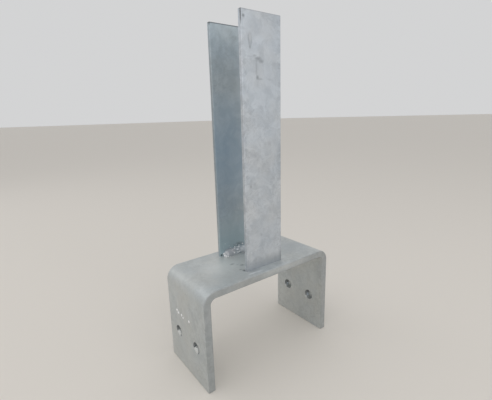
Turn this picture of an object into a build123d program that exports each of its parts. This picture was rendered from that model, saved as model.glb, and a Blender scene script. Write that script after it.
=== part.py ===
from build123d import *
import os

# Galvanised post saddle. A flat bar, press-bent into an inverted U, straddles a beam, and two flat-bar
# uprights stand on its bridge to hold a post between them. Each upright has a fillet weld along its
# inner foot. X runs along the bridge, Y across the bar, +Z up, and the legs' feet are at Z = 0.
# All sizes are in millimetres.

# Saddle: flat bar bent to an inverted U
bar_width = 80
bar_thickness = 8
bar_edge_radius = 1.2
sawn_edge_break = 0.5
beam_span = 157
beam_drop = 100
inner_bend_radius = 6

# Fixing holes, two in line through each leg
hole_diameter = 12
hole_height = 40
hole_pitch = 38
hole_deburr = 0.3

# Uprights: two flat bars, one on each side of the post
upright_width = 48
upright_thickness = 4
upright_height = 250
upright_edge_radius = 0.8
post_gap = 48
upright_offset = -2

# Fillet welds along the inner feet of the uprights
weld_leg = 7
weld_ripple_pitch = 6.7
weld_setback = 3

# Planes that the pieces share
bridge_top = beam_drop + bar_thickness
leg_center = (beam_span + bar_thickness) / 2
saddle_length = beam_span + 2 * bar_thickness
bend_center_radius = inner_bend_radius + bar_thickness / 2
front_face = -post_gap / 2
upright_center = front_face - upright_thickness / 2

# Saddle: the rolled section of the bar, swept along its bent centre line
with BuildPart() as saddle:
    with BuildLine(Plane.XZ) as center_line:
        FilletPolyline(
            (-leg_center, 0),
            (-leg_center, beam_drop + bar_thickness / 2),
            (leg_center, beam_drop + bar_thickness / 2),
            (leg_center, 0),
            radius=bend_center_radius,
        )
    with BuildSketch(Plane((-leg_center, 0, 0))) as bar_section:
        RectangleRounded(bar_thickness, bar_width, bar_edge_radius)
    sweep()
    with BuildSketch(Plane.YZ) as hole_pattern:
        with Locations((0, hole_height)):
            with GridLocations(hole_pitch, 0, 2, 1):
                Circle(hole_diameter / 2)
    extrude(amount=saddle_length / 2, both=True, mode=Mode.SUBTRACT)
    chamfer(saddle.edges().filter_by(GeomType.CIRCLE).filter_by(lambda rim: rim.is_closed), hole_deburr)
    chamfer(saddle.faces().group_by(Axis.Z)[0].edges(), sawn_edge_break)

# Front upright: a sawn length of flat bar, standing on the bridge
with BuildPart() as front_upright:
    with BuildSketch(Plane((upright_offset, upright_center, bridge_top))) as upright_section:
        RectangleRounded(upright_width, upright_thickness, upright_edge_radius)
    extrude(amount=upright_height)
    chamfer(front_upright.faces().sort_by(Axis.Z)[-1].edges(), sawn_edge_break)

# Rear upright: the same bar on the other side of the post
with BuildPart() as rear_upright:
    mirror(front_upright.part, about=Plane.XZ)

# Front weld: overlapping round ripples in the corner between the bridge and the upright. Their outline,
# a row of half discs, is turned through the quarter between the two faces
weld_length = upright_width - 2 * upright_edge_radius - 2 * weld_setback
ripple_run = weld_length - 2 * weld_leg
ripple_count = round(ripple_run / weld_ripple_pitch) + 1
with BuildPart() as front_weld:
    with BuildSketch(Plane((upright_offset, front_face, bridge_top))) as bead_outline:
        with GridLocations(ripple_run / (ripple_count - 1), 0, ripple_count, 1):
            Circle(weld_leg)
        Rectangle(weld_length, weld_leg, align=(Align.CENTER, Align.MIN), mode=Mode.INTERSECT)
    revolve(axis=Axis((0, front_face, bridge_top), (1, 0, 0)), revolution_arc=90)

# Rear weld: its mirror image along the rear upright
with BuildPart() as rear_weld:
    mirror(front_weld.part, about=Plane.XZ)

saddle.part.label = "saddle"
front_upright.part.label = "front_upright"
rear_upright.part.label = "rear_upright"
front_weld.part.label = "front_weld"
rear_weld.part.label = "rear_weld"

os.makedirs("parts", exist_ok=True)
export_step(saddle.part, "parts/saddle.step")
export_step(front_upright.part, "parts/front_upright.step")
export_step(rear_upright.part, "parts/rear_upright.step")
export_step(front_weld.part, "parts/front_weld.step")
export_step(rear_weld.part, "parts/rear_weld.step")
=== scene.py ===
import bpy
import math
import random
from mathutils import Matrix, Vector


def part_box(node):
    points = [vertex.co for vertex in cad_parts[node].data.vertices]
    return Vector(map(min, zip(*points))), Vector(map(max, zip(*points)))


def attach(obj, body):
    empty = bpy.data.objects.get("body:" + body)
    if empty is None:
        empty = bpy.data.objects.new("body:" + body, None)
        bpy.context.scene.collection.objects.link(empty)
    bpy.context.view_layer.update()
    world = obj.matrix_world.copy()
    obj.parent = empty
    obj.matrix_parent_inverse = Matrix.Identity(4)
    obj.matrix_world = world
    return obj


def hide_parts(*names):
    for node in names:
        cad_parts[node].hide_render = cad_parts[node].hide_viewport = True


# Galvanised post saddle: a bent flat-bar saddle with two welded uprights, dressed in hot-dip zinc.
# Metres, +Z up, the bridge along X and the front upright on the -Y side. The places and sizes of the
# marks and of the pieces added here are written in millimetres.

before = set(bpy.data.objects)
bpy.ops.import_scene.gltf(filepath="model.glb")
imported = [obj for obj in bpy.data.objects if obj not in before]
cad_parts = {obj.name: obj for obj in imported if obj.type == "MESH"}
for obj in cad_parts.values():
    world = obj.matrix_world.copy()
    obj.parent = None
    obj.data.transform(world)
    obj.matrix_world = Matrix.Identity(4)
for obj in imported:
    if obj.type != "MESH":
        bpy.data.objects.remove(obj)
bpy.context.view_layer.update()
bpy.ops.object.select_all(action="DESELECT")
scene = bpy.context.scene
mm = 0.001
saddleLow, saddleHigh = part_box("saddle")
bridgeTop = 108     # the bridge's upper face
postFace = 24       # the uprights' inner faces, at plus and minus this y
frontFace = -28     # the front upright's outer face
legFace = -86.5     # the left leg's outer face
smoothAngle = math.radians(50)   # edges sharper than this stay sharp
cutThreshold = 0.001 * mm        # the default of 0.1 mm leaves open edges along the cuts
print("frame loaded:", ", ".join(sorted(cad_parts)))


# small helpers for the materials
def newMaterial(name):
    material = bpy.data.materials.new(name)
    material.use_nodes = True
    tree = material.node_tree
    shader = tree.nodes["Principled BSDF"]
    return material, tree, shader


def fillSocket(tree, socket, value):
    # a link where the value comes from another node, a plain value otherwise
    if isinstance(value, bpy.types.NodeSocket):
        tree.links.new(value, socket)
    else:
        socket.default_value = value


def addNode(tree, kind, inputs=None, **settings):
    node = tree.nodes.new(kind)
    for key, value in settings.items():
        setattr(node, key, value)
    for key, value in (inputs or {}).items():
        fillSocket(tree, node.inputs[key], value)
    return node


def noise(tree, place, scale, detail=4.0, roughness=0.55, distortion=0.0):
    node = addNode(tree, "ShaderNodeTexNoise", {"Vector": place, "Scale": scale, "Detail": detail,
                                                "Roughness": roughness, "Distortion": distortion})
    return node.outputs["Fac"]


def remap(tree, value, low, high, toLow=0.0, toHigh=1.0):
    node = addNode(tree, "ShaderNodeMapRange", {"Value": value, "From Min": low, "From Max": high,
                                                "To Min": toLow, "To Max": toHigh})
    return node.outputs["Result"]


def maths(tree, operation, first, second=0.0, clamp=False):
    node = addNode(tree, "ShaderNodeMath", {0: first, 1: second}, operation=operation, use_clamp=clamp)
    return node.outputs[0]


def vectorMaths(tree, operation, inputs, output=0):
    node = addNode(tree, "ShaderNodeVectorMath", dict(enumerate(inputs)), operation=operation)
    return node.outputs[output]


def mixColour(tree, factor, first, second, blend="MIX"):
    # sockets 0, 6 and 7 are the factor and the two colours, and output 2 is the mixed colour
    node = addNode(tree, "ShaderNodeMix", {0: factor, 6: first, 7: second},
                   data_type="RGBA", blend_type=blend)
    return node.outputs[2]


def moved(tree, place, location=(0, 0, 0), scale=(1, 1, 1)):
    node = addNode(tree, "ShaderNodeMapping", {"Vector": place, "Location": location, "Scale": scale})
    return node.outputs["Vector"]


def objectPlace(tree):
    return addNode(tree, "ShaderNodeTexCoord").outputs["Object"]


def axesOf(tree, place):
    return addNode(tree, "ShaderNodeSeparateXYZ", {"Vector": place}).outputs


def raiseSurface(tree, shader, height):
    bump = addNode(tree, "ShaderNodeBump", {"Height": height, "Strength": 1.0, "Distance": 1.0})
    tree.links.new(bump.outputs["Normal"], shader.inputs["Normal"])


# the zinc of the bars: light and dark metal in clouds, blotches and fine grain
zinc = {
    "light": (0.648, 0.690, 0.735, 1), "dark": (0.470, 0.508, 0.548, 1),
    "warmTint": (1.014, 1.0, 0.985, 1), "coolTint": (0.988, 1.0, 1.014, 1),
    "seamColour": (0.22, 0.24, 0.26, 1), "edgeShadeColour": (0.16, 0.175, 0.19, 1),
    "topShadeColour": (0.12, 0.135, 0.15, 1),
    # each noise: its scale, detail, roughness and distortion
    "clouds": (19, 5, 0.55, 0.6), "blotches": (64, 4, 0.60, 0.9), "mottle": (150, 4, 0.62, 1.1),
    "where": (26, 3, 0.5, 0.5), "grain": (620, 3, 0.6), "wave": (150, 2, 0.5), "streak": (120, 3, 0.55),
    "seam": (95, 4, 0.6, 1.2), "tint": (30, 3), "spangleScale": 210, "streakSquash": (1, 1, 0.16),
    # the stretch of each noise in use, then what it turns into
    "cloudRange": (0.36, 0.64), "blotchRange": (0.43, 0.57), "mottleRange": (0.42, 0.56),
    "whereMap": (0.42, 0.58, 0.25, 1.0), "cellMap": (0.0, 1.0, -0.05, 0.05),
    "streakMap": (0.35, 0.65, -0.05, 0.05), "grainMap": (0.3, 0.7, -0.06, 0.06), "tintMap": (0.38, 0.62),
    "middle": 0.55, "cloudDepth": 0.15, "blotchDepth": 0.15, "mottleDepth": 0.19, "mottleLift": 0.6,
    "edgeMottle": 0.6, "seamWidth": 0.014, "seamDepth": 0.16,
    "roughest": 0.66, "smoothest": 0.50, "metal": 0.85,
    "grainDepth": 0.030 * mm, "waveDepth": 0.10 * mm,
}
outlineNoise = (0.25, 0.75)   # the stretch of noise that breaks a mark's outline


def blot(at, size, soft, ragged, depth, colour):
    # centre and half sizes in millimetres, the share of the radius that fades, how broken the outline is,
    # and how strongly it shows
    return {"at": at, "size": size, "soft": soft, "ragged": ragged, "depth": depth, "colour": colour}


def markMask(tree, place, noiseFac, mark):
    # the mark's depth in its middle and 0 outside, with a soft outline broken by noise
    local = vectorMaths(tree, "SUBTRACT", (place, [c * mm for c in mark["at"]]))
    scaled = vectorMaths(tree, "MULTIPLY", (local, [1 / (d * mm) for d in mark["size"]]))
    reach = vectorMaths(tree, "LENGTH", (scaled,), "Value")
    ragged = maths(tree, "ADD", reach, remap(tree, noiseFac, *outlineNoise, -mark["ragged"], mark["ragged"]))
    return remap(tree, ragged, 1.0, 1.0 - mark["soft"], 0.0, mark["depth"])


bore = {
    "y": 19, "z": 40, "radius": 6.15, "fade": 0.1,
    "shade": (0.13, 0.14, 0.15, 1), "shadeDepth": 0.65, "leastShade": 0.15, "shadeFrom": -5.0, "shadeTo": 1.5,
}


def boreShade(tree, place, colour, settings):
    # painted shade inside the bolt holes, darkest towards their tops
    axes = axesOf(tree, place)
    across = maths(tree, "SUBTRACT", maths(tree, "ABSOLUTE", axes["Y"]), settings["y"] * mm)
    up = maths(tree, "SUBTRACT", axes["Z"], settings["z"] * mm)
    reach = maths(tree, "SQRT", maths(tree, "ADD", maths(tree, "MULTIPLY", across, across),
                                      maths(tree, "MULTIPLY", up, up)))
    inside = remap(tree, reach, (settings["radius"] + settings["fade"]) * mm, settings["radius"] * mm)
    upper = remap(tree, up, settings["shadeFrom"] * mm, settings["shadeTo"] * mm,
                  settings["leastShade"], settings["shadeDepth"])
    return mixColour(tree, maths(tree, "MULTIPLY", inside, upper), colour, settings["shade"])


def zincMaterial(name, settings, marks=(), shift=(0, 0, 0), edge=None, top=None, holes=None):
    # shift: where in the noise the bar lies; edge: the bar's long edges, where zinc drains off and painted
    # shade darkens them; top: the sawn end, darkened by painted shade; holes: the bolt holes, with painted
    # shade inside
    material, tree, shader = newMaterial(name)
    place = objectPlace(tree)
    spread = moved(tree, place, location=shift)
    clouds = noise(tree, spread, *settings["clouds"])
    blotches = noise(tree, spread, *settings["blotches"])
    mottle = noise(tree, spread, *settings["mottle"])
    where = remap(tree, noise(tree, spread, *settings["where"]), *settings["whereMap"])
    grain = noise(tree, spread, *settings["grain"])
    wave = noise(tree, spread, *settings["wave"])
    streak = noise(tree, moved(tree, spread, scale=settings["streakSquash"]), *settings["streak"])
    spangle = addNode(tree, "ShaderNodeTexVoronoi", {"Vector": spread, "Scale": settings["spangleScale"],
                                                     "Randomness": 1.0}, feature="SMOOTH_F1")
    cell = addNode(tree, "ShaderNodeSeparateColor", {"Color": spangle.outputs["Color"]}).outputs[0]

    reach = None
    if edge:
        axis = axesOf(tree, place)[edge["axis"]]
        reach = maths(tree, "ABSOLUTE", maths(tree, "SUBTRACT", axis, edge["centre"] * mm))
        border = remap(tree, reach, (edge["at"] - edge["band"]) * mm, (edge["at"] - 1) * mm,
                       0.0, settings["edgeMottle"])
        where = maths(tree, "ADD", where, border)
    middle, cloudDepth = settings["middle"], settings["cloudDepth"]
    blotchDepth, mottleDepth = settings["blotchDepth"], settings["mottleDepth"]
    shade = remap(tree, clouds, *settings["cloudRange"], middle - cloudDepth, middle + cloudDepth)
    blotchShade = remap(tree, blotches, *settings["blotchRange"], -blotchDepth, blotchDepth)
    shade = maths(tree, "ADD", shade, blotchShade)
    mottleShade = remap(tree, mottle, *settings["mottleRange"], -mottleDepth,
                        mottleDepth * settings["mottleLift"])
    shade = maths(tree, "ADD", shade, maths(tree, "MULTIPLY", where, mottleShade))
    shade = maths(tree, "ADD", shade, remap(tree, cell, *settings["cellMap"]))
    shade = maths(tree, "ADD", shade, remap(tree, streak, *settings["streakMap"]))
    shade = maths(tree, "ADD", shade, remap(tree, grain, *settings["grainMap"]), True)
    colour = mixColour(tree, shade, settings["dark"], settings["light"])
    tint = mixColour(tree, remap(tree, noise(tree, spread, *settings["tint"]), *settings["tintMap"]),
                     settings["coolTint"], settings["warmTint"])
    colour = mixColour(tree, 1.0, colour, tint, "MULTIPLY")
    rough = remap(tree, shade, 0.0, 1.0, settings["roughest"], settings["smoothest"])

    # scribbly dark hairlines where the blotches of zinc meet
    ridge = noise(tree, spread, *settings["seam"])
    seam = maths(tree, "ABSOLUTE", maths(tree, "SUBTRACT", ridge, 0.5))
    seamLine = remap(tree, seam, settings["seamWidth"], 0.0, 0.0, settings["seamDepth"])
    colour = mixColour(tree, maths(tree, "MULTIPLY", seamLine, where), colour, settings["seamColour"])

    if edge:
        # painted shade along the long edges, for the darker surroundings they reflect, with some duller zinc
        rim = remap(tree, reach, (edge["at"] - 0.5) * mm, (edge["at"] + 0.2) * mm, 0.0, edge["depth"])
        colour = mixColour(tree, rim, colour, settings["edgeShadeColour"])
    if top:
        # painted shade along the top end
        height = axesOf(tree, place)["Z"]
        end = remap(tree, height, (top["at"] - 0.5) * mm, top["at"] * mm, 0.0, top["depth"])
        colour = mixColour(tree, end, colour, settings["topShadeColour"])
    if holes:
        colour = boreShade(tree, place, colour, holes)
    for mark in marks:
        mask = markMask(tree, place, blotches, mark)
        colour = mixColour(tree, mask, colour, mark["colour"])
    tree.links.new(colour, shader.inputs["Base Color"])
    tree.links.new(rough, shader.inputs["Roughness"])
    shader.inputs["Metallic"].default_value = settings["metal"]
    bumps = maths(tree, "ADD", maths(tree, "MULTIPLY", wave, settings["waveDepth"]),
                  maths(tree, "MULTIPLY", grain, settings["grainDepth"]))
    raiseSurface(tree, shader, bumps)
    return material


saddleTone = dict(zinc, light=(0.612, 0.640, 0.638, 1), dark=(0.450, 0.475, 0.474, 1), metal=0.5,
                  cloudDepth=0.12, blotchDepth=0.07, seamDepth=0.10, roughest=0.54, smoothest=0.40)
# a darker, bluer copy of the zinc for the rear upright: painted shade and reflection
rearShadedTone = dict(zinc, light=(0.545, 0.615, 0.655, 1), dark=(0.402, 0.462, 0.500, 1), mottleDepth=0.12,
                cloudDepth=0.10)
dullGreyAndShade = (0.26, 0.285, 0.31, 1)
sootAndShade = (0.10, 0.11, 0.12, 1)
paleZincAndLight = (0.78, 0.80, 0.82, 1)
footShadeGrey = (0.36, 0.385, 0.405, 1)
lumpGrey = (0.47, 0.48, 0.50, 1)
paintedWallLight = (0.72, 0.80, 0.90, 1)
paintedLightZinc = (0.74, 0.765, 0.75, 1)
shadeBlueZinc = (0.375, 0.485, 0.585, 1)
shadeGreenZinc = (0.505, 0.625, 0.66, 1)

frontMarks = [
    blot((-15.8, frontFace, 333.5), (3.2, 3, 7.2), 0.35, 0.10, 0.36, dullGreyAndShade),   # a drip
    blot((-15.6, frontFace, 335.0), (2.0, 3, 5.0), 0.5, 0.05, 0.30, paleZincAndLight),
    blot((-16.0, frontFace, 327.0), (1.8, 3, 2.4), 0.9, 0.15, 0.62, dullGreyAndShade),
    blot((-10.8, frontFace, 320.0), (3.0, 3, 1.6), 0.9, 0.35, 0.40, dullGreyAndShade),   # smears
    blot((-7.0, frontFace, 317.6), (4.6, 3, 2.6), 0.8, 0.35, 0.66, dullGreyAndShade),
    blot((-2.6, frontFace, 315.6), (3.8, 3, 2.2), 0.9, 0.35, 0.58, dullGreyAndShade),
    blot((-8.9, frontFace, 309.0), (1.3, 3, 11.0), 0.9, 0.3, 0.30, dullGreyAndShade),   # a hairline and its ends
    blot((-7.9, frontFace, 301.0), (2.1, 3, 2.6), 0.8, 0.2, 0.62, dullGreyAndShade),
    blot((-3.2, frontFace, 299.8), (4.4, 3, 1.2), 0.9, 0.3, 0.42, dullGreyAndShade),
    blot((-3.4, frontFace, 307.0), (2.8, 3, 8.0), 0.7, 0.15, 0.16, paleZincAndLight),   # clean zinc beside it
    blot((-22.8, frontFace, 352.0), (2.2, 3, 2.2), 0.8, 0.1, 0.90, dullGreyAndShade),   # spots
    blot((-25.2, frontFace, 250.0), (1.6, 3, 3.4), 0.8, 0.2, 0.45, dullGreyAndShade),
    blot((-18.6, frontFace, 197.7), (1.6, 3, 1.9), 0.8, 0.2, 0.45, dullGreyAndShade),
    blot((-26.0, -27.9, 353.0), (0.9, 1.0, 10.5), 0.5, 0.1, 0.88, sootAndShade),   # a dark line down the top of the left edge
    blot((21.8, frontFace, 113.0), (1.7, 3, 9.0), 0.8, 0.2, 0.55, sootAndShade),   # painted shadow at the right foot
    blot((-2.0, frontFace, 105.0), (80, 3, 17.0), 0.45, 0.10, 0.50, footShadeGrey),   # painted shade darkening the foot
]
saddleMarks = [
    blot((-30.0, 0.0, bridgeTop), (36, 26, 3), 0.8, 0.25, 0.75, paintedLightZinc),   # painted light over the shade between the uprights
    blot((56.0, 0.0, bridgeTop), (36, 46, 3), 0.9, 0.2, 0.27, dullGreyAndShade),   # painted shade on the bridge's right end
    blot((15.0, -40, 105), (46, 2, 5), 0.8, 0.2, 0.35, paintedLightZinc),   # painted light on the front edge
    blot((-27.0, -1.6, bridgeTop), (3.4, 2.0, 2), 0.9, 0.3, 0.45, sootAndShade),   # smears by the inner feet
    blot((-23.0, -6.2, bridgeTop), (2.4, 1.6, 2), 0.9, 0.3, 0.25, sootAndShade),
    blot((-19.6, -10.4, bridgeTop), (3.8, 3.2, 2), 0.9, 0.3, 0.62, sootAndShade),
    blot((-27.8, -18.6, bridgeTop), (2.8, 2.2, 2), 0.9, 0.3, 0.50, sootAndShade),
    blot((-26.4, -23.0, bridgeTop), (2.4, 3.8, 2), 0.9, 0.2, 0.85, sootAndShade),
    # painted shadow under the toe of the rear bead's end
    blot((5.0, 15.0, bridgeTop), (6.0, 2.2, 2), 0.8, 0.4, 0.45, sootAndShade),
    blot((-18.0, -29.5, bridgeTop), (11, 3.2, 2), 0.7, 0.2, 0.45, footShadeGrey),   # painted shade in front of the front outer foot
    blot((-23.0, -33.6, bridgeTop), (7.5, 1.5, 2), 0.8, 0.2, 0.75, paleZincAndLight),
    blot((-15.0, -34.6, bridgeTop), (6.0, 1.4, 2), 0.8, 0.2, 0.65, paleZincAndLight),
    blot((legFace, 17.5, 72.0), (2, 1.3, 9), 0.8, 0.3, 0.30, paleZincAndLight),   # runs on the left leg
    blot((legFace, 6.0, 70.0), (2, 1.2, 7), 0.8, 0.3, 0.25, paleZincAndLight),
    blot((legFace, -6.9, 70.0), (2, 1.0, 6), 0.8, 0.3, 0.25, paleZincAndLight),
]
# painted light in the right leg's holes, a pale blue lit wall seen through them and a lit near rim: x, y past
# the hole's middle, z, half sizes, colour
holeGlints = [
    (83.0, 5.2, 37.0, (2.6, 2.0, 3.0), paintedWallLight),
    (79.2, 4.4, 35.9, (1.1, 1.6, 1.5), paleZincAndLight),
]
saddleMarks += [blot((x, hole + ahead, z), size, 0.7, 0.2, 0.85, colour)
                for hole in (-bore["y"], bore["y"]) for x, ahead, z, size, colour in holeGlints]
rearMarks = [
    blot((-14.0, 23, 222.0), (60, 3.4, 78), 0.9, 0.15, 0.95, shadeBlueZinc),   # painted reflection and shade: blue and green casts
    blot((-14.0, 23, 118.0), (60, 3.4, 46), 0.8, 0.15, 0.90, shadeGreenZinc),
    blot((-26.0, 26.4, 235.0), (0.9, 3.4, 145.0), 0.4, 0.05, 0.50, dullGreyAndShade),   # darker left edge
    blot((2.0, postFace, 117.6), (9.0, 3, 3.6), 0.8, 0.6, 0.42, sootAndShade),   # scorched zinc above the bead
    blot((-24.3, postFace, 109.6), (1.4, 3, 1.4), 0.6, 0.1, 0.97, sootAndShade),   # a pinhole, its darkness painted shade
    blot((-2.0, postFace, 352.0), (10.0, 3, 5.0), 0.9, 0.4, 0.24, dullGreyAndShade),   # smudges near the top
    blot((2.0, postFace, 346.5), (6.5, 3, 6.0), 0.8, 0.4, 0.30, dullGreyAndShade),
    blot((-26.0, 24.2, 356.8), (1.0, 0.9, 2.6), 0.6, 0.1, 0.80, sootAndShade),   # the dark corner
]

saddleEdge = {"axis": "Y", "centre": 0, "at": 39.5, "band": 8, "depth": 0.38}
uprightEdge = {"axis": "X", "centre": -2, "at": 23.8, "band": 8, "depth": 0.03}
frontTop = {"at": 357.6, "depth": 0.30}
rearTop = {"at": 357.2, "depth": 0.75}
saddleZinc = zincMaterial("saddleZinc", saddleTone, saddleMarks, (0.31, 0.12, 0.05), saddleEdge, None, bore)
frontUprightZinc = zincMaterial("frontUprightZinc", zinc, frontMarks, (0, 0, 0), uprightEdge, frontTop)
rearUprightZinc = zincMaterial("rearUprightZinc", rearShadedTone, rearMarks, (0.7, 0.4, 0.2), uprightEdge, rearTop)


def dress(piece, material):
    piece.data.materials.clear()
    piece.data.materials.append(material)


for nodeName, finish in (("saddle", saddleZinc), ("front_upright", frontUprightZinc),
                         ("rear_upright", rearUprightZinc)):
    dress(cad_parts[nodeName], finish)
print("zinc finish on the bars")


# the zinc of the weld beads and of everything else that stands proud, in the same terms as the bars' zinc
beadZinc = {
    "light": (0.70, 0.735, 0.755, 1), "dark": (0.40, 0.44, 0.475, 1),
    "lumps": (420, 4, 0.6, 0.4), "grain": (1500, 2, 0.6),
    "lumpMap": (0.36, 0.64, 0.1, 0.85), "grainMap": (0.3, 0.7, -0.12, 0.12),
    "roughest": 0.50, "smoothest": 0.28, "metal": 0.6, "grainDepth": 0.05 * mm,
}


def beadMaterial(name, settings, marks=()):
    material, tree, shader = newMaterial(name)
    place = objectPlace(tree)
    lumps = noise(tree, place, *settings["lumps"])
    grain = noise(tree, place, *settings["grain"])
    shade = maths(tree, "ADD", remap(tree, lumps, *settings["lumpMap"]),
                  remap(tree, grain, *settings["grainMap"]), True)
    colour = mixColour(tree, shade, settings["dark"], settings["light"])
    for mark in marks:
        colour = mixColour(tree, markMask(tree, place, lumps, mark), colour, mark["colour"])
    rough = remap(tree, shade, 0, 1, settings["roughest"], settings["smoothest"])
    tree.links.new(colour, shader.inputs["Base Color"])
    tree.links.new(rough, shader.inputs["Roughness"])
    shader.inputs["Metallic"].default_value = settings["metal"]
    raiseSurface(tree, shader, maths(tree, "MULTIPLY", grain, settings["grainDepth"]))
    return material


# the dull smooth lump at the start of each bead
beadMarks = [blot((-15.5, side * 19.5, 112.8), (9, 7, 6), 0.4, 0.1, 0.85, lumpGrey) for side in (1, -1)]
weldZinc = beadMaterial("weldZinc", beadZinc, beadMarks)
# pale zinc for the drops and pimples, made near white as a painted highlight for their glints
dropZincGlint = beadMaterial("dropZincGlint", dict(beadZinc, light=(0.97, 0.975, 0.98, 1), dark=(0.88, 0.89, 0.90, 1),
                                         roughest=0.40, smoothest=0.25))
lumpZinc = beadMaterial("lumpZinc", dict(beadZinc, light=(0.79, 0.80, 0.78, 1), dark=(0.60, 0.62, 0.61, 1),
                                         roughest=0.65, smoothest=0.5))

bead = {
    "voxel": 0.26, "waviness": 0.40, "waveSize": 1.6, "smoothing": 2, "wander": 0.3,
    "stretches": [   # along the bar: a heavy smooth start, a coarse middle and a slimmer run to the end
        {"from": -15.2, "to": -11.4, "pitch": 1.3, "radius": 7.0, "tall": 1.04, "spread": 0.08, "globs": 0},
        {"from": -10.0, "to": -0.5, "pitch": 1.9, "radius": 6.2, "tall": 1.10, "spread": 0.35, "globs": 60},
        {"from": 1.5, "to": 12.4, "pitch": 2.7, "radius": 5.6, "tall": 1.22, "spread": 0.15, "globs": 0},
    ],
    "globSmall": 0.7, "globLarge": 1.25, "globAngles": (8, 84), "globReach": (-0.5, 0.35), "globPast": 1,
}


def joinAll(pieces, name):
    bpy.ops.object.select_all(action="DESELECT")
    for piece in pieces:
        piece.select_set(True)
    bpy.context.view_layer.objects.active = pieces[0]
    bpy.ops.object.join()
    whole = bpy.context.object
    whole.name = name
    whole.data.name = name
    bpy.ops.object.transform_apply(location=True, rotation=True, scale=True)
    return whole


def addBall(at, radius, scale=(1, 1, 1), finer=3):
    bpy.ops.mesh.primitive_ico_sphere_add(subdivisions=finer, radius=radius * mm, scale=scale,
                                          location=[v * mm for v in at])
    return bpy.context.object


def applyModifier(piece, kind, **settings):
    modifier = piece.modifiers.new(kind.lower(), kind)
    for key, value in settings.items():
        setattr(modifier, key, value)
    bpy.ops.object.modifier_apply(modifier=modifier.name)


def roughen(piece, size, strength):
    # pushes the surface in and out in soft lumps
    ripple = bpy.data.textures.new(piece.name + "Ripple", "CLOUDS")
    ripple.noise_scale = size * mm
    applyModifier(piece, "DISPLACE", texture=ripple, texture_coords="LOCAL", mid_level=0.5,
                  strength=strength * mm)


def cutFlat(piece, point, normal):
    # cuts away what lies beyond the plane and closes the cut
    bpy.ops.object.mode_set(mode="EDIT")
    bpy.ops.mesh.select_all(action="SELECT")
    bpy.ops.mesh.bisect(plane_co=[v * mm for v in point], plane_no=normal, use_fill=True, clear_outer=True,
                        threshold=cutThreshold)
    bpy.ops.mesh.select_all(action="SELECT")
    bpy.ops.mesh.normals_make_consistent(inside=False)
    bpy.ops.object.mode_set(mode="OBJECT")


def makeBead(name, side, settings, seed):
    # side is +1 for the rear upright and -1 for the front one
    rng = random.Random(seed)
    corner = side * postFace
    wander = settings["wander"]
    balls = []
    for run in settings["stretches"]:
        tall = run["tall"]
        count = round((run["to"] - run["from"]) / run["pitch"]) + 1
        for i in range(count):
            along = run["from"] + (run["to"] - run["from"]) * i / (count - 1)
            along += rng.uniform(-wander, wander)
            radius = run["radius"] + rng.uniform(-1, 1) * run["spread"]
            balls.append(addBall((along, corner, bridgeTop), radius, (1, 1, tall)))
        for i in range(run["globs"]):
            along = rng.uniform(run["from"] - settings["globPast"], run["to"] + settings["globPast"])
            angle = math.radians(rng.uniform(*settings["globAngles"]))
            reach = run["radius"] + rng.uniform(*settings["globReach"])
            out = side * reach * math.cos(angle)
            up = tall * reach * math.sin(angle)
            size = rng.uniform(settings["globSmall"], settings["globLarge"])
            balls.append(addBall((along, corner - out, bridgeTop + up), size, finer=2))
    weld = joinAll(balls, name)
    applyModifier(weld, "REMESH", mode="VOXEL", voxel_size=settings["voxel"] * mm)
    roughen(weld, settings["waveSize"], settings["waviness"])
    applyModifier(weld, "SMOOTH", factor=0.5, iterations=settings["smoothing"])
    cutFlat(weld, (0, 0, bridgeTop), (0, 0, -1))
    cutFlat(weld, (0, corner, bridgeTop), (0, side, 0))
    bpy.ops.object.shade_smooth_by_angle(angle=smoothAngle)
    dress(weld, weldZinc)
    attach(weld, "root")
    return weld


rearBead = makeBead("rear_bead", 1, bead, 11)
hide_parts("rear_weld")
frontBead = makeBead("front_bead", -1, bead, 23)
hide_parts("front_weld")
print("weld beads laid")


# drops of weld metal beside the beads; clear: how far from the corner the scattered ones begin; climb and
# stray: how much farther they reach, up the upright and out over the bridge
spatter = {
    "count": 22, "small": 0.25, "large": 0.55, "from": -24, "to": 20, "onUpright": 0.6, "flat": 0.6,
    "clear": 7.5, "climb": 9, "stray": 7,
    "named": [   # place and radius; the last four: a white crescent at the bead's start, a painted highlight
        ((6.6, postFace, 116.2), 1.05), ((1.2, postFace, 115.9), 0.6), ((-5.8, 22.8, 115.3), 1.0),
        ((-7.6, 21.0, 114.0), 0.95), ((-10.0, 18.0, 110.8), 0.95), ((-4.9, 17.9, 110.2), 0.9),
        ((-2.4, 18.2, 110.4), 0.9), ((-0.8, 22.0, 114.4), 0.95), ((-21.6, 22.6, 111.0), 1.25),
        ((-21.6, 20.8, 109.2), 1.35), ((-20.8, 18.8, 108.8), 1.3), ((-19.0, 17.5, 108.7), 1.0),
    ],
}


def makeSpatter(name, side, settings, seed):
    rng = random.Random(seed)
    corner = side * postFace
    clear, flat = settings["clear"], settings["flat"]
    balls = []
    for at, size in settings["named"]:
        balls.append(addBall((at[0], side * at[1], at[2]), size, finer=2))
    for i in range(settings["count"]):
        size = rng.uniform(settings["small"], settings["large"])
        along = rng.uniform(settings["from"], settings["to"])
        if rng.random() < settings["onUpright"]:
            height = bridgeTop + clear + rng.random() ** 2 * settings["climb"]
            balls.append(addBall((along, corner, height), size, (1, flat, 1), 2))
        else:
            out = clear + rng.random() ** 2 * settings["stray"]
            balls.append(addBall((along, corner - side * out, bridgeTop), size, (1, 1, flat), 2))
    drops = joinAll(balls, name)
    cutFlat(drops, (0, corner, 0), (0, side, 0))
    cutFlat(drops, (0, 0, bridgeTop), (0, 0, -1))
    bpy.ops.object.shade_smooth_by_angle(angle=smoothAngle)
    dress(drops, dropZincGlint)
    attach(drops, "root")


makeSpatter("rear_spatter", 1, spatter, 5)
makeSpatter("front_spatter", -1, spatter, 8)

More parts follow.
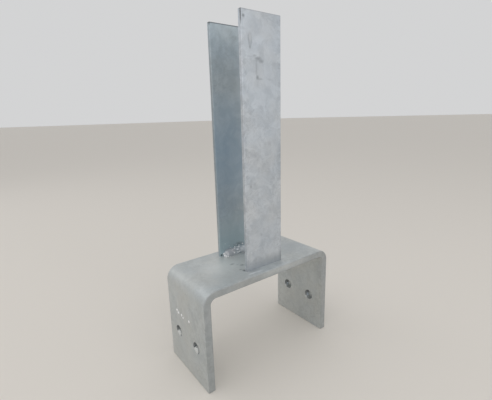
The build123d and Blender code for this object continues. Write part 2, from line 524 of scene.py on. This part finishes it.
pimples = {   # y, z, half width and half height of each pimple of zinc on the left leg's outer face
    "spots": [(19.8, 65.0, 1.6, 1.3), (16.9, 63.1, 1.9, 1.3), (9.6, 63.4, 1.3, 1.6), (6.3, 61.9, 0.9, 1.3),
              (-6.9, 64.1, 1.6, 1.5)],
    "proud": 0.75,
}


def makePimples(name, settings):
    face = saddleLow[0] / mm
    balls = []
    for y, z, width, height in settings["spots"]:
        balls.append(addBall((face, y, z), 1.0, (settings["proud"], width, height)))
    drops = joinAll(balls, name)
    cutFlat(drops, (face, 0, 0), (1, 0, 0))
    bpy.ops.object.shade_smooth_by_angle(angle=smoothAngle)
    dress(drops, dropZincGlint)
    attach(drops, "root")


boreLumps = {   # zinc left lying in the bolt holes: centres and half sizes; their outer side is cut flat
    "left": [((-84.2, -16.4, 34.4), (3.4, 4.5, 5.0)), ((-84.2, 21.5, 34.2), (3.4, 4.4, 4.8))],
    # thin webs that close the right leg's holes so they show dark: painted shade
    "right": [((85.2, -15.7, 37.1), (1.3, 4.0, 3.9)), ((85.2, 22.3, 37.1), (1.3, 4.0, 3.9))],
    "inset": 0.22, "roughness": 0.35, "waveSize": 2.2,
}


def makeBoreLumps(name, spots, out, settings):
    # out is -1 for the left leg and +1 for the right one
    face = out * (saddleHigh[0] / mm - settings["inset"])
    lumps = joinAll([addBall(at, 1.0, size, 4) for at, size in spots], name)
    roughen(lumps, settings["waveSize"], settings["roughness"])
    cutFlat(lumps, (face, 0, 0), (out, 0, 0))
    bpy.ops.object.shade_smooth_by_angle(angle=smoothAngle)
    dress(lumps, lumpZinc)
    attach(lumps, "root")


makePimples("leg_pimples", pimples)
makeBoreLumps("left_bore_zinc", boreLumps["left"], -1, boreLumps)
makeBoreLumps("right_bore_shade_web", boreLumps["right"], 1, boreLumps)
print("spatter, pimples and bore lumps set")


# floor, light and camera
studio = {
    "floorSize": 60.0, "floorColour": (0.76, 0.72, 0.665, 1), "floorRoughness": 0.85,
    "worldColour": (0.988, 0.993, 1.0, 1), "worldStrength": 0.66,
}


def buildStudio(settings):
    bpy.ops.mesh.primitive_plane_add(size=settings["floorSize"], location=(0, 0, 0))
    floor = bpy.context.object
    floor.name = "studioFloor"
    material, tree, shader = newMaterial("studioPaper")
    shader.inputs["Base Color"].default_value = settings["floorColour"]
    shader.inputs["Roughness"].default_value = settings["floorRoughness"]
    dress(floor, material)
    world = bpy.data.worlds.new("studioWorld")
    world.use_nodes = True
    scene.world = world
    background = world.node_tree.nodes["Background"]
    background.inputs["Color"].default_value = settings["worldColour"]
    background.inputs["Strength"].default_value = settings["worldStrength"]


lamps = {
    "frontLamp": {"place": (-0.10, -1.36, 0.79), "size": 1.3, "power": 4.7, "colour": (1.0, 0.99, 0.98)},
    "keyLamp": {"place": (-0.61, 0.61, 1.39), "size": 1.2, "power": 0.9, "colour": (1.0, 1.0, 1.0)},
    "leftLamp": {"place": (-0.96, -0.03, 1.31), "size": 1.6, "power": 2.3, "colour": (1.0, 0.99, 0.97)},
    "backLamp": {"place": (-0.67, 1.21, 0.75), "size": 0.6, "power": 0.6, "colour": (1.0, 1.0, 1.0)},
}
lampAim = Vector((0, 0, 0.16))


def buildLamps(settings):
    for name, lamp in settings.items():
        bpy.ops.object.light_add(type="AREA", location=lamp["place"])
        light = bpy.context.object
        light.name = name
        light.data.shape = "DISK"
        light.data.size = lamp["size"]
        light.data.energy = lamp["power"]
        light.data.color = lamp["colour"]
        light.rotation_euler = (lampAim - light.location).to_track_quat("-Z", "Y").to_euler()


view = {
    "place": (-0.21956, -0.28648, 0.26526), "heading": 36.926, "downwards": 13.859, "roll": -1.586,
    "lens": 24.586, "sensor": 36.0, "nearest": 0.01,
}


def buildCamera(settings):
    bpy.ops.object.camera_add(location=settings["place"])
    camera = bpy.context.object
    camera.name = "benchCamera"
    turn = (Matrix.Rotation(-math.radians(settings["heading"]), 4, "Z")
            @ Matrix.Rotation(math.radians(90 - settings["downwards"]), 4, "X")
            @ Matrix.Rotation(math.radians(settings["roll"]), 4, "Z"))
    camera.rotation_euler = turn.to_euler()
    camera.data.lens = settings["lens"]
    camera.data.sensor_width = settings["sensor"]
    camera.data.clip_start = settings["nearest"]
    scene.camera = camera


buildStudio(studio)
buildLamps(lamps)
buildCamera(view)
scene.view_settings.view_transform = "Standard"
print("studio, lamps and camera set")
